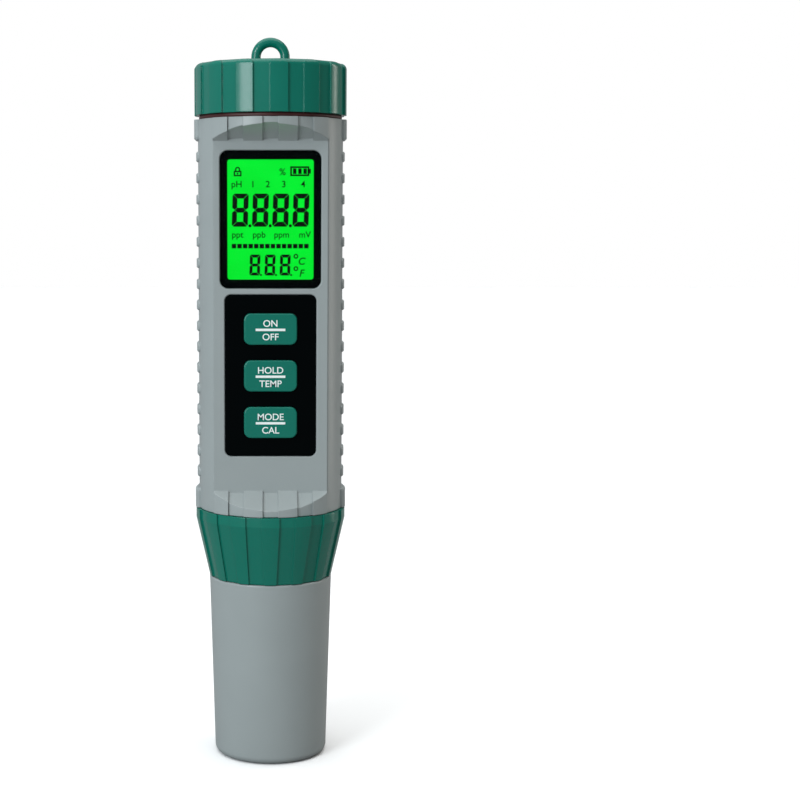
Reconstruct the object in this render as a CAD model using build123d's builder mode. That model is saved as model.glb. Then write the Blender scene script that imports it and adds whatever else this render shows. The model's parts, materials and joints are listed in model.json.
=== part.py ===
from build123d import *
import math
import os

os.makedirs("parts", exist_ok=True)

# A pen-type pH meter that stands upright on its protective sleeve.
# Millimetres. The origin is the middle of the sleeve's foot, +Z runs up the pen
# to the lanyard loop, and the display faces -Y.

# Heights along the pen, from the foot up
sleeve_height = 48.8
collar_height = 18.4
body_length = 102.6
seal_height = 1.1
cap_height = 13.3
loop_rise = 7.0
seam = 0.15

# Body shell; a share is of the shell's radius
shell_wall = 2.1
front_flat_share = 0.6283
front_end = 5.25
front_slope = 28.0
front_edge = 0.35
back_flat_share = 0.6492
back_end = 3.4
back_slope = 21.5
back_edge = 0.85
flat_wall = 2.0
recess_edge = 0.22
end_rib_height = 0.5
end_rib_width = 5.0
end_rib_pitch = 9.0

# Threaded neck set into the shell's top
neck_flange = 2.6
neck_height = 8.5
neck_wall = 1.3

# Grip pads down both sides
pad_count = 16
pad_end = 9.6
pad_height = 2.6
pad_width = 8.4
pad_round = 1.0
pad_proud = 0.5
end_pad_height = 5.4
end_pad_proud = 1.0

# Turn of the pen's front round its axis
front_turn = -90.0

# Battery cap and its loop
cap_wall = 2.5
cap_lip = 0.9
cap_top = 3.0
cap_round = 1.4
cap_rib_turn = 6.2
rib_count = 14
rib_height = 0.55
groove_width = 4.2
thread_room = 0.7
loop_width = 7.6
loop_bar = 2.5
loop_root = 0.6
foam_inset = 2.65
foam_gap = 0.3

# Collar nut
collar_land = 2.5
collar_draw = 3.6
collar_ledge = 3.0
collar_wall = 1.2
collar_hole_step = 1.9

# Protective sleeve
sleeve_draw = 1.4
sleeve_wall = 2.0
sleeve_floor = 2.4
sleeve_round = 1.9
sleeve_lip = 0.4
sponge_height = 4.6

# Front panels: the window's share of their height, and the margins round them
window_share = 0.4563
panel_top = 3.0
panel_gap = 1.55
panel_foot = 9.75
window_side = 1.76
keypad_side = 2.96

# Display
window_round = 2.2
bezel_side = 1.95
bezel_end = 2.3
view_round = 0.7
lens_thickness = 0.8
bezel_thickness = 0.4
view_margin = 0.5
glass_side = 1.35
glass_end = 2.55
lcd_thickness = 2.2
backlight_thickness = 2.2
zebra_height = 2.0
holder_wall = 1.0

# Keypad
key_count = 3
keypad_round = 1.7
keypad_thickness = 1.0
key_side = 5.0
key_end = 4.875
key_spacing = 4.05
key_round = 1.8
key_proud = 0.8
key_edge = 0.35
key_flange = 1.2
key_flange_thickness = 0.8
key_post_r = 2.0
key_travel = 0.5
switch_size = 6.0
switch_height = 1.8
stem_r = 1.6
stem_proud = 0.9
stem_depth = 1.1

# Circuit boards and their fixings
board_side = 2.05
board_thickness = 1.2
board_top_gap = 6.6
boss_r = 1.9
boss_inset = 2.7
screw_r = 0.9
screw_head_r = 1.8
screw_head_height = 1.1
screw_length = 4.6
controller_size = 10.0
amplifier_size = 5.0
memory_size = 6.0
chip_height = 1.4
header_width = 12.0
header_depth = 2.5
header_height = 5.6

# Battery tray with four button cells in two columns
cell_r = 5.8
cell_height = 5.4
cells_per_column = 2
column_gap = 0.5
tray_rim = 2.55
tray_wall = 0.85
tray_floor = 2.0
tray_lid_thickness = 2.0
bridge_thickness = 0.4
well_plate_inset = 1.2
well_plate_thickness = 0.3
well_dome_r = 1.6
well_dome_height = 1.0
dock_height = 4.0
dock_pin_r = 1.5

# Lower end: plug in the shell, probe socket and probe
plug_plate = 4.0
spigot_wall = 1.9
socket_shoulder = 4.0
socket_board_gap = 2.5
contact_count = 5
contact_inset = 2.5
contact_pin_r = 0.45
contact_pin_rise = 7.0
contact_pin_root = 3.5
contact_sleeve_wall = 0.25
probe_flange = 2.0
gasket_height = 1.0
probe_plug_rise = 5.5
probe_cone_length = 4.0
probe_step = 1.5
guard_wall = 1.3
guard_slots = 4
guard_slot_width = 7.0
glass_depth = 12.0
sensor_root = 4.0
ec_pin_r = 0.9
ec_pin_turn = 30.0
temp_pin_r = 1.2
temp_pin_turn = 85.0
junction_r = 1.8
junction_drop = 1.0
o_ring_wire = 0.7
o_ring_drop = 4.8

# Shares of the sleeve's height, of the guard's length, of the open room and of the guard's bore
seat_share = 0.2254
tip_share = 0.2459
guard_share = 0.3279
finger_share = 0.625
open_share = 0.75
pin_share = 0.667
bulb_share = 0.333
bulb_clear_share = 0.2
stem_share = 0.75
bulb_place = 0.451
sensor_place = 0.549

# Clearances
slip = 0.1
loose = 0.3
pin_fit = 0.1
sleeve_fit = 0.02
key_gap = 0.15

# Radii that follow, from the battery cells outwards and down to the sleeve's foot
column_x = cell_r + column_gap
tray_r = column_x + cell_r + tray_rim
neck_bore_r = tray_r + loose
neck_r = neck_bore_r + neck_wall
cap_bore_r = neck_r + thread_room
cap_r = cap_bore_r + cap_wall + rib_height
body_r = cap_r - cap_lip
cavity_r = body_r - shell_wall
collar_foot_r = cap_r - collar_draw
collar_bore_r = collar_foot_r - collar_wall
collar_hole_r = collar_bore_r - collar_hole_step
sleeve_foot_r = collar_foot_r - sleeve_draw
spigot_r = collar_bore_r - loose
spigot_bore_r = spigot_r - spigot_wall
socket_neck_r = spigot_bore_r - socket_shoulder
contact_circle_r = socket_neck_r - contact_inset
seat_r = collar_hole_r - loose
probe_shaft_r = seat_r - probe_step
guard_bore_r = probe_shaft_r - guard_wall

# Depths of the stack behind the front flat, as distances from the axis
front_flat = front_flat_share * body_r
back_flat = back_flat_share * body_r
front_inner = front_flat - flat_wall
back_inner = back_flat - flat_wall
lcd_back = front_inner - lcd_thickness
board_front = lcd_back - backlight_thickness
board_back = board_front - board_thickness
stem_tip = board_front + switch_height + stem_proud
flat_half = math.sqrt(body_r**2 - front_flat**2)
reach = body_r + end_pad_proud + shell_wall

# Levels that follow from the heights
collar_z0 = sleeve_height + seam
collar_z1 = collar_z0 + collar_height
body_z0 = collar_z1 + seam
body_z1 = body_z0 + body_length
body_mid = (body_z0 + body_z1) / 2
cap_z0 = body_z1 + seal_height
cap_z1 = cap_z0 + cap_height
cap_ceiling = cap_z1 - cap_top
neck_z1 = body_z1 + neck_height

# Front panels, stacked on the front flat
front_flat_length = body_length - 2 * front_end
back_flat_length = body_length - 2 * back_end
pad_pitch = (body_length - 2 * pad_end) / (pad_count - 1)
panel_height = front_flat_length - panel_top - panel_gap - panel_foot
window_height = window_share * panel_height
keypad_height = panel_height - window_height
window_z = body_mid + front_flat_length / 2 - panel_top - window_height / 2
keypad_z = body_mid - front_flat_length / 2 + panel_foot + keypad_height / 2
window_width = 2 * (flat_half - window_side)
view_width = window_width - 2 * bezel_side
view_height = window_height - 2 * bezel_end
lcd_width = view_width + 2 * glass_side
lcd_height = view_height + 2 * glass_end
keypad_width = 2 * (flat_half - keypad_side)
key_width = keypad_width - 2 * key_side
key_height = (keypad_height - 2 * key_end - (key_count - 1) * key_spacing) / key_count
key_pitch = key_height + key_spacing
key_levels = [keypad_z + step * key_pitch for step in (1, 0, -1)]
board_width = 2 * (math.sqrt(cavity_r**2 - board_front**2) - board_side)
boss_x = board_width / 2 - boss_inset

# Levels of the lower end
plug_z1 = body_z0 + plug_plate
board_z0 = plug_z1 + board_thickness
board_z1 = body_z1 - board_top_gap
ledge_z = collar_z0 + collar_ledge
probe_flange_z1 = ledge_z + probe_flange
spigot_z0 = probe_flange_z1 + gasket_height
probe_plug_z1 = spigot_z0 + probe_plug_rise
socket_z0 = probe_plug_z1 + 2 * loose
seat_z0 = collar_z0 - seat_share * sleeve_height
probe_tip_z = tip_share * sleeve_height
guard_length = guard_share * sleeve_height
guard_z1 = probe_tip_z + guard_length
guard_finger = finger_share * guard_length
face_rise = open_share * guard_length
face_z = probe_tip_z + face_rise
sensor_drop = pin_share * face_rise
bulb_r = bulb_share * face_rise
bulb_z = probe_tip_z + bulb_clear_share * face_rise + bulb_r
glass_r = stem_share * bulb_r
bulb_x = bulb_place * guard_bore_r
sensor_circle_r = sensor_place * guard_bore_r

# Levels of the battery stack, from the tray's top down
tray_z1 = neck_z1 - loose
lid_z0 = tray_z1 - tray_lid_thickness
bridge_z0 = lid_z0 - bridge_thickness
cells_z0 = bridge_z0 - cells_per_column * cell_height
well_z0 = cells_z0 - well_dome_height - well_plate_thickness
tray_z0 = well_z0 - tray_floor
dock_z0 = tray_z0 - dock_height
well_r = cell_r + slip
tray_back = back_inner - loose
tray_mid = tray_back - tray_wall - well_r
tray_front = tray_mid - well_r - tray_wall

column_places = [(-column_x, tray_mid), (column_x, tray_mid)]
contact_places = PolarLocations(contact_circle_r, contact_count, start_angle=-front_turn)


def taper_r(height):
    """Outer radius of the sleeve at a height."""
    return sleeve_foot_r + (collar_foot_r - sleeve_foot_r) * height / sleeve_height


def between_flats(radius, front, back):
    """Draw a circle cut off by the front and back flats in the open sketch."""
    Circle(radius)
    with Locations((0, (back - front) / 2)):
        Rectangle(2 * radius, back + front, mode=Mode.INTERSECT)


def recess(side, flat, length, slope, proud):
    """Make the block that cuts a flat with its two end slopes; side is -1 at the front."""
    half = length / 2 - proud / math.cos(math.radians(slope))
    rise = (reach - flat) * math.tan(math.radians(slope))
    with BuildPart() as block:
        with BuildSketch(Plane.YZ):
            with BuildLine():
                Polyline(
                    (side * flat, body_mid - half),
                    (side * flat, body_mid + half),
                    (side * reach, body_mid + half + rise),
                    (side * reach, body_mid - half - rise),
                    close=True,
                )
            make_face()
        extrude(amount=reach, both=True)
    return block.part


def grip_pad(height, proud):
    """Make one pad on the +X side, centred on the X axis, with a chamfered rim."""
    with BuildPart() as block:
        with BuildSketch(Plane.YZ.offset(cavity_r)):
            RectangleRounded(pad_width, height, pad_round)
        extrude(amount=reach - cavity_r)
        with BuildSketch(Plane.XY.offset(-height)):
            Circle(body_r + proud)
        extrude(amount=2 * height, mode=Mode.INTERSECT)
        outer = block.faces().sort_by(Axis.X)[-1]
        chamfer(outer.edges(), proud / 2)
    return block.part


front_cut = recess(-1, front_flat, front_flat_length, front_slope, 0)
back_cut = recess(1, back_flat, back_flat_length, back_slope, 0)
front_rib_cut = recess(-1, front_flat, front_flat_length, front_slope, end_rib_height)
back_rib_cut = recess(1, back_flat, back_flat_length, back_slope, end_rib_height)

# Ribs across the sloped ends of both flats and round the two rims
with BuildPart() as end_ribs:
    with BuildSketch(Plane.XY.offset(body_z0)):
        Circle(body_r + end_rib_height)
    extrude(amount=body_length)
    add(front_rib_cut, mode=Mode.SUBTRACT)
    add(back_rib_cut, mode=Mode.SUBTRACT)
    with BuildSketch(Plane.XY.offset(body_z0)):
        with GridLocations(end_rib_pitch, 0, 4, 1):
            Rectangle(end_rib_width, 2 * reach)
        Rectangle(2 * flat_half, 2 * reach, mode=Mode.INTERSECT)
    extrude(amount=body_length, mode=Mode.INTERSECT)

small_pad = grip_pad(pad_height, pad_proud)
end_pad = grip_pad(2 * end_pad_height, end_pad_proud)
pad_span = (pad_count - 1) * pad_pitch

with BuildPart() as side_pads:
    for turn in (0, 180):
        for step in range(pad_count):
            with Locations(Location((0, 0, body_mid - pad_span / 2 + step * pad_pitch), (0, 0, turn))):
                add(small_pad)
        for end in (body_z0, body_z1):
            with Locations(Location((0, 0, end), (0, 0, turn))):
                add(end_pad)
    with BuildSketch(Plane.XY.offset(body_z0)):
        Circle(reach)
    extrude(amount=body_length, mode=Mode.INTERSECT)

# Moulded body shell: one tube, open at both ends
with BuildPart() as body_shell:
    with BuildSketch(Plane.XY.offset(body_z0)):
        Circle(body_r)
    extrude(amount=body_length)
    add(front_cut, mode=Mode.SUBTRACT)
    add(back_cut, mode=Mode.SUBTRACT)
    flat_sides = body_shell.edges().filter_by(Axis.Z).filter_by(lambda e: e.length < body_length - seam)
    chamfer(flat_sides.group_by(Axis.Y)[0], front_edge)
    chamfer(flat_sides.group_by(Axis.Y)[-1], back_edge)
    add(end_ribs.part)
    add(side_pads.part)
    with BuildSketch(Plane.XY.offset(body_z0)):
        between_flats(cavity_r, front_inner, back_inner)
    extrude(amount=body_length, mode=Mode.SUBTRACT)
    # Seat for the lens and its bezel, and the hole that the display shows through
    with BuildSketch(Plane.XZ.offset(front_flat)):
        with Locations((0, window_z)):
            RectangleRounded(window_width, window_height, window_round)
    extrude(amount=-(lens_thickness + bezel_thickness), mode=Mode.SUBTRACT)
    with BuildSketch(Plane.XZ.offset(front_flat)):
        with Locations((0, window_z)):
            RectangleRounded(view_width + 2 * view_margin, view_height + 2 * view_margin, view_round)
    extrude(amount=-flat_wall, mode=Mode.SUBTRACT)
    # Seat for the keypad panel and the three key holes
    with BuildSketch(Plane.XZ.offset(front_flat)):
        with Locations((0, keypad_z)):
            RectangleRounded(keypad_width, keypad_height, keypad_round)
    extrude(amount=-keypad_thickness, mode=Mode.SUBTRACT)
    rims = body_shell.faces().filter_by(Axis.Y).sort_by(Axis.Y)[0].inner_wires().edges()
    chamfer(rims, recess_edge)
    with BuildSketch(Plane.XZ.offset(front_flat)):
        with Locations([(0, level) for level in key_levels]):
            RectangleRounded(key_width + 2 * key_gap, key_height + 2 * key_gap, key_round)
    extrude(amount=-flat_wall, mode=Mode.SUBTRACT)
    # Screw bosses for the main board
    with BuildSketch(Plane.XZ.offset(front_inner)):
        with Locations((0, keypad_z)):
            with GridLocations(2 * boss_x, key_pitch, 2, 2):
                Circle(boss_r)
                Circle(screw_r + slip, mode=Mode.SUBTRACT)
    extrude(amount=-(front_inner - board_front))
body_shell.part.label = "body_shell"
export_step(body_shell.part, "parts/body_shell.step")

# Threaded neck: its flange sits in the shell's mouth and its tube on the rim
with BuildPart() as neck_ring:
    with BuildSketch(Plane.XY.offset(body_z1)):
        Circle(neck_r)
    extrude(amount=neck_height)
    chamfer(neck_ring.edges().group_by(Axis.Z)[-1], slip)
    with BuildSketch(Plane.XY.offset(body_z1)):
        between_flats(cavity_r - slip, front_inner - slip, back_inner - slip)
    extrude(amount=-neck_flange)
    with BuildSketch(Plane.XY.offset(body_z1 - neck_flange)):
        Circle(neck_bore_r)
    extrude(amount=neck_flange + neck_height, mode=Mode.SUBTRACT)
neck_ring.part.label = "neck_ring"
export_step(neck_ring.part, "parts/neck_ring.step")

# Plug that closes the shell's lower end and carries the collar's thread
with BuildPart() as lower_plug:
    with BuildSketch(Plane.XY.offset(body_z0)):
        between_flats(cavity_r - slip, front_inner - slip, back_inner - slip)
    extrude(amount=plug_plate)
    with BuildSketch(Plane.XY.offset(spigot_z0)):
        Circle(spigot_r)
        Circle(spigot_bore_r, mode=Mode.SUBTRACT)
    extrude(amount=body_z0 - spigot_z0)
    with BuildSketch(Plane.XY.offset(body_z0)):
        Circle(socket_neck_r)
    extrude(amount=plug_plate, mode=Mode.SUBTRACT)
lower_plug.part.label = "lower_plug"
export_step(lower_plug.part, "parts/lower_plug.step")

# Clear lens, flush with the front flat
with BuildPart() as display_lens:
    with BuildSketch(Plane.XZ.offset(front_flat)):
        with Locations((0, window_z)):
            RectangleRounded(window_width - 2 * slip, window_height - 2 * slip, window_round - slip)
    extrude(amount=-lens_thickness)
display_lens.part.label = "display_lens"
export_step(display_lens.part, "parts/display_lens.step")

# Black bezel behind the lens
with BuildPart() as display_bezel:
    with BuildSketch(Plane.XZ.offset(front_flat - lens_thickness)):
        with Locations((0, window_z)):
            RectangleRounded(window_width - 2 * slip, window_height - 2 * slip, window_round - slip)
            RectangleRounded(view_width, view_height, view_round, mode=Mode.SUBTRACT)
    extrude(amount=-bezel_thickness)
display_bezel.part.label = "display_bezel"
export_step(display_bezel.part, "parts/display_bezel.step")

# Liquid crystal glass against the inside of the front wall
with BuildPart() as lcd_panel:
    with BuildSketch(Plane.XZ.offset(front_inner)):
        with Locations((0, window_z)):
            Rectangle(lcd_width, lcd_height)
    extrude(amount=-lcd_thickness)
lcd_panel.part.label = "lcd_panel"
export_step(lcd_panel.part, "parts/lcd_panel.step")

# Backlight between the two contact strips
with BuildPart() as backlight_panel:
    with BuildSketch(Plane.XZ.offset(lcd_back)):
        with Locations((0, window_z)):
            Rectangle(lcd_width, lcd_height - 2 * (zebra_height + slip))
    extrude(amount=-backlight_thickness)
backlight_panel.part.label = "backlight_panel"
export_step(backlight_panel.part, "parts/backlight_panel.step")

# Elastomer strips that join the glass to the board
with BuildPart() as zebra_strips:
    with BuildSketch(Plane.XZ.offset(lcd_back)):
        with Locations((0, window_z)):
            with GridLocations(0, lcd_height - zebra_height, 1, 2):
                Rectangle(lcd_width - 2 * slip, zebra_height)
    extrude(amount=-backlight_thickness)
zebra_strips.part.label = "zebra_strips"
export_step(zebra_strips.part, "parts/zebra_strips.step")

# Frame that holds the glass and the backlight on the board
with BuildPart() as lcd_holder:
    with BuildSketch(Plane.XZ.offset(front_inner)):
        with Locations((0, window_z)):
            Rectangle(lcd_width + 2 * (slip + holder_wall), lcd_height + 2 * (slip + holder_wall))
            Rectangle(lcd_width + 2 * slip, lcd_height + 2 * slip, mode=Mode.SUBTRACT)
    extrude(amount=-(front_inner - board_front))
lcd_holder.part.label = "lcd_holder"
export_step(lcd_holder.part, "parts/lcd_holder.step")

# Main circuit board
with BuildPart() as main_board:
    with BuildSketch(Plane.XZ.offset(board_front)):
        with Locations((0, (board_z0 + board_z1) / 2)):
            Rectangle(board_width, board_z1 - board_z0)
        with Locations((0, keypad_z)):
            with GridLocations(2 * boss_x, key_pitch, 2, 2):
                Circle(screw_r + slip, mode=Mode.SUBTRACT)
    extrude(amount=-board_thickness)
main_board.part.label = "main_board"
export_step(main_board.part, "parts/main_board.step")

# Chips on the back of the board: controller, amplifier and memory
with BuildPart() as board_chips:
    with BuildSketch(Plane.XZ.offset(board_back)):
        for level, chip_size in zip(key_levels, (controller_size, amplifier_size, memory_size)):
            with Locations((0, level)):
                Rectangle(chip_size, chip_size)
    extrude(amount=-chip_height)
board_chips.part.label = "board_chips"
export_step(board_chips.part, "parts/board_chips.step")

# Four pan-head screws through the board into the bosses
with BuildPart() as board_screws:
    with BuildSketch(Plane.XZ.offset(board_back)):
        with Locations((0, keypad_z)):
            with GridLocations(2 * boss_x, key_pitch, 2, 2):
                Circle(screw_r)
    extrude(amount=screw_length)
    with BuildSketch(Plane.XZ.offset(board_back)):
        with Locations((0, keypad_z)):
            with GridLocations(2 * boss_x, key_pitch, 2, 2):
                Circle(screw_head_r)
    extrude(amount=-screw_head_height)
board_screws.part.label = "board_screws"
export_step(board_screws.part, "parts/board_screws.step")

# Three tactile switches under the keys
with BuildPart() as switch_bodies:
    with BuildSketch(Plane.XZ.offset(board_front)):
        with Locations([(0, level) for level in key_levels]):
            Rectangle(switch_size, switch_size)
    extrude(amount=switch_height)
    with BuildSketch(Plane.XZ.offset(board_front + switch_height)):
        with Locations([(0, level) for level in key_levels]):
            Circle(stem_r + pin_fit)
    extrude(amount=-(stem_depth + key_travel + sleeve_fit), mode=Mode.SUBTRACT)
switch_bodies.part.label = "switch_bodies"
export_step(switch_bodies.part, "parts/switch_bodies.step")

# Black keypad panel with three openings
with BuildPart() as keypad_panel:
    with BuildSketch(Plane.XZ.offset(front_flat)):
        with Locations((0, keypad_z)):
            RectangleRounded(keypad_width - 2 * slip, keypad_height - 2 * slip, keypad_round - slip)
        with Locations([(0, level) for level in key_levels]):
            RectangleRounded(
                key_width + 2 * key_gap, key_height + 2 * key_gap, key_round, mode=Mode.SUBTRACT
            )
    extrude(amount=-keypad_thickness)
keypad_panel.part.label = "keypad_panel"
export_step(keypad_panel.part, "parts/keypad_panel.step")

# The keys, each with a flange behind the wall and a post on its switch stem
for key_name, level in zip(("power", "hold", "mode"), key_levels):
    with BuildPart() as key:
        with BuildSketch(Plane.XZ.offset(front_inner)):
            with Locations((0, level)):
                RectangleRounded(key_width, key_height, key_round)
        extrude(amount=flat_wall + key_proud)
        fillet(key.faces().sort_by(Axis.Y)[0].edges(), key_edge)
        with BuildSketch(Plane.XZ.offset(front_inner)):
            with Locations((0, level)):
                RectangleRounded(key_width + 2 * key_flange, key_height + 2 * key_flange, key_round)
        extrude(amount=-key_flange_thickness)
        with BuildSketch(Plane.XZ.offset(front_inner - key_flange_thickness)):
            with Locations((0, level)):
                Circle(key_post_r)
        extrude(amount=-(front_inner - key_flange_thickness - stem_tip))
    key.part.label = key_name + "_key"
    export_step(key.part, "parts/" + key_name + "_key.step")

    with BuildPart() as stem:
        with BuildSketch(Plane.XZ.offset(stem_tip)):
            with Locations((0, level)):
                Circle(stem_r)
        extrude(amount=-(stem_proud + stem_depth))
    stem.part.label = key_name + "_stem"
    export_step(stem.part, "parts/" + key_name + "_stem.step")

# Dock across the shell that the battery tray stands on
with BuildPart() as battery_dock:
    with BuildSketch(Plane.XY.offset(dock_z0)):
        between_flats(cavity_r - slip, board_back - slip, back_inner - slip)
        with Locations(column_places):
            Circle(dock_pin_r + sleeve_fit, mode=Mode.SUBTRACT)
    extrude(amount=dock_height)
battery_dock.part.label = "battery_dock"
export_step(battery_dock.part, "parts/battery_dock.step")

# Contact posts in the dock
with BuildPart() as dock_contacts:
    with BuildSketch(Plane.XY.offset(dock_z0)):
        with Locations(column_places):
            Circle(dock_pin_r)
    extrude(amount=dock_height)
dock_contacts.part.label = "dock_contacts"
export_step(dock_contacts.part, "parts/dock_contacts.step")

# Battery tray with a well for each column of cells
with BuildPart() as battery_tray:
    with BuildSketch(Plane.XY.offset(tray_z0)):
        between_flats(tray_r, -tray_front, tray_back)
    extrude(amount=lid_z0 - tray_z0)
    with BuildSketch(Plane.XY.offset(well_z0)):
        with Locations(column_places):
            Circle(well_r)
    extrude(amount=lid_z0 - well_z0, mode=Mode.SUBTRACT)
    with BuildSketch(Plane.XY.offset(bridge_z0)):
        with Locations((0, tray_mid)):
            Rectangle(2 * column_x, 2 * (well_dome_r + slip))
    extrude(amount=bridge_thickness, mode=Mode.SUBTRACT)
    with BuildSketch(Plane.XY.offset(tray_z0)):
        with Locations(column_places):
            Circle(dock_pin_r + sleeve_fit)
    extrude(amount=tray_floor, mode=Mode.SUBTRACT)
battery_tray.part.label = "battery_tray"
export_step(battery_tray.part, "parts/battery_tray.step")

# Domed contact plates at the foot of the wells, with a rivet through the floor
with BuildPart() as tray_contacts:
    with BuildSketch(Plane.XY.offset(tray_z0)):
        with Locations(column_places):
            Circle(dock_pin_r)
    extrude(amount=tray_floor)
    with BuildSketch(Plane.XY.offset(well_z0)):
        with Locations(column_places):
            Circle(cell_r - well_plate_inset)
    extrude(amount=well_plate_thickness)
    with BuildSketch(Plane.XY.offset(well_z0 + well_plate_thickness)):
        with Locations(column_places):
            Circle(well_dome_r)
    extrude(amount=well_dome_height)
tray_contacts.part.label = "tray_contacts"
export_step(tray_contacts.part, "parts/tray_contacts.step")

# Four button cells
with BuildPart() as one_cell:
    with BuildSketch(Plane.XY):
        Circle(cell_r)
    extrude(amount=cell_height)
    fillet(one_cell.edges().group_by(Axis.Z)[0], well_plate_thickness)
cell_stack = []
for column_place in column_places:
    for step in range(cells_per_column):
        lift = cells_z0 + step * cell_height
        cell_stack.append(Pos(column_place[0], column_place[1], lift) * one_cell.part)
battery_cells = Compound(label="battery_cells", children=cell_stack)
export_step(battery_cells, "parts/battery_cells.step")

# Plate that bridges the two columns
with BuildPart() as bridge_plate:
    with BuildSketch(Plane.XY.offset(bridge_z0)):
        with Locations((0, tray_mid)):
            SlotCenterToCenter(2 * column_x, 2 * well_dome_r)
    extrude(amount=bridge_thickness)
bridge_plate.part.label = "bridge_plate"
export_step(bridge_plate.part, "parts/bridge_plate.step")

# Lid of the tray, recessed over the bridge plate
with BuildPart() as tray_lid:
    with BuildSketch(Plane.XY.offset(lid_z0)):
        between_flats(tray_r, -tray_front, tray_back)
    extrude(amount=tray_lid_thickness)
tray_lid.part.label = "tray_lid"
export_step(tray_lid.part, "parts/tray_lid.step")

# Socket that takes the probe's contact pins, shouldered against the plug's plate
with BuildPart() as probe_socket:
    with BuildSketch(Plane.XY.offset(socket_z0)):
        Circle(spigot_bore_r - slip)
    extrude(amount=body_z0 - socket_z0)
    with BuildSketch(Plane.XY.offset(body_z0)):
        Circle(socket_neck_r - slip)
    extrude(amount=plug_plate)
    with BuildSketch(Plane.XY.offset(socket_z0)):
        with contact_places:
            Circle(contact_pin_r + pin_fit + contact_sleeve_wall + sleeve_fit)
    extrude(amount=plug_z1 - socket_z0, mode=Mode.SUBTRACT)
probe_socket.part.label = "probe_socket"
export_step(probe_socket.part, "parts/probe_socket.step")

# Spring sleeves in the socket
with BuildPart() as socket_contacts:
    with BuildSketch(Plane.XY.offset(socket_z0)):
        with contact_places:
            Circle(contact_pin_r + pin_fit + contact_sleeve_wall)
            Circle(contact_pin_r + pin_fit, mode=Mode.SUBTRACT)
    extrude(amount=plug_z1 - socket_z0)
socket_contacts.part.label = "socket_contacts"
export_step(socket_contacts.part, "parts/socket_contacts.step")

# Small board over the socket, soldered to its sleeves
with BuildPart() as socket_board:
    with BuildSketch(Plane.XY.offset(plug_z1)):
        between_flats(cavity_r - socket_board_gap, board_front, back_inner - slip)
    extrude(amount=board_thickness)
socket_board.part.label = "socket_board"
export_step(socket_board.part, "parts/socket_board.step")

# Header that joins the socket's board to the main board
with BuildPart() as link_header:
    with BuildSketch(Plane.XY.offset(board_z0)):
        with Locations((0, -board_back + header_depth / 2)):
            Rectangle(header_width, header_depth)
    extrude(amount=header_height)
link_header.part.label = "link_header"
export_step(link_header.part, "parts/link_header.step")

# Seal squeezed between the shell's rim and the cap
with BuildPart() as cap_seal:
    with BuildSketch(Plane.XZ):
        with Locations(((neck_r + slip + body_r - loose) / 2, body_z1 + seal_height / 2)):
            RectangleRounded(body_r - loose - neck_r - slip, seal_height, seal_height / 2 - slip)
    revolve(axis=Axis.Z)
cap_seal.part.label = "cap_seal"
export_step(cap_seal.part, "parts/cap_seal.step")

# One groove of the cap, cut between two of its ribs
with BuildPart() as cap_groove:
    with BuildSketch(Plane.XY.offset(cap_z0 - seam)):
        with Locations((cap_r - rib_height + reach / 2, 0)):
            Rectangle(reach, groove_width)
    extrude(amount=cap_height + 2 * seam)

# Battery cap with the lanyard loop moulded on its top
groove_turn = front_turn + cap_rib_turn + 180 / rib_count
with BuildPart() as battery_cap:
    with BuildSketch(Plane.XY.offset(cap_z0)):
        Circle(cap_r)
    extrude(amount=cap_height)
    with PolarLocations(0, rib_count, start_angle=groove_turn):
        add(cap_groove.part, mode=Mode.SUBTRACT)
    top_edges = battery_cap.faces().sort_by(Axis.Z)[-1].edges()
    fillet(top_edges, cap_round)
    with BuildSketch(Plane.XY.offset(cap_z0)):
        Circle(cap_bore_r)
    extrude(amount=cap_ceiling - cap_z0, mode=Mode.SUBTRACT)
    with BuildLine() as loop_path:
        leg_top = cap_z1 + loop_rise - (loop_width + loop_bar) / 2
        left_leg = Line((-loop_width / 2, 0, cap_z1 - loop_root), (-loop_width / 2, 0, leg_top))
        arch = ThreePointArc(
            left_leg @ 1, (0, 0, leg_top + loop_width / 2), (loop_width / 2, 0, leg_top)
        )
        Line(arch @ 1, (loop_width / 2, 0, cap_z1 - loop_root))
    with BuildSketch(Plane(origin=left_leg @ 0, z_dir=(0, 0, 1))):
        Circle(loop_bar / 2)
    sweep(path=loop_path.line)
battery_cap.part.label = "battery_cap"
export_step(battery_cap.part, "parts/battery_cap.step")

# Foam disc in the cap that presses on the tray
with BuildPart() as cap_foam:
    with BuildSketch(Plane.XY.offset(tray_z1 + foam_gap)):
        Circle(tray_r - foam_inset)
    extrude(amount=cap_ceiling - tray_z1 - foam_gap)
cap_foam.part.label = "cap_foam"
export_step(cap_foam.part, "parts/cap_foam.step")

# One groove of the collar: it follows the cone and the land at one depth
with BuildPart() as collar_groove:
    with BuildSketch(Plane.XZ):
        with BuildLine():
            Polyline(
                (collar_foot_r - rib_height, collar_z0),
                (cap_r - rib_height, collar_z1 - collar_land),
                (cap_r - rib_height, collar_z1),
                (reach, collar_z1),
                (reach, collar_z0),
                close=True,
            )
        make_face()
    extrude(amount=groove_width / 2, both=True)

# Collar nut that clamps the probe to the plug
with BuildPart() as collar_nut:
    with BuildSketch(Plane.XZ):
        with BuildLine():
            Polyline(
                (collar_hole_r, collar_z0),
                (collar_foot_r, collar_z0),
                (cap_r, collar_z1 - collar_land),
                (cap_r, collar_z1),
                (collar_bore_r, collar_z1),
                (collar_bore_r, ledge_z),
                (collar_hole_r, ledge_z),
                close=True,
            )
        make_face()
    revolve(axis=Axis.Z)
    with PolarLocations(0, rib_count, start_angle=front_turn + 180 / rib_count):
        add(collar_groove.part, mode=Mode.SUBTRACT)
collar_nut.part.label = "collar_nut"
export_step(collar_nut.part, "parts/collar_nut.step")

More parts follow.
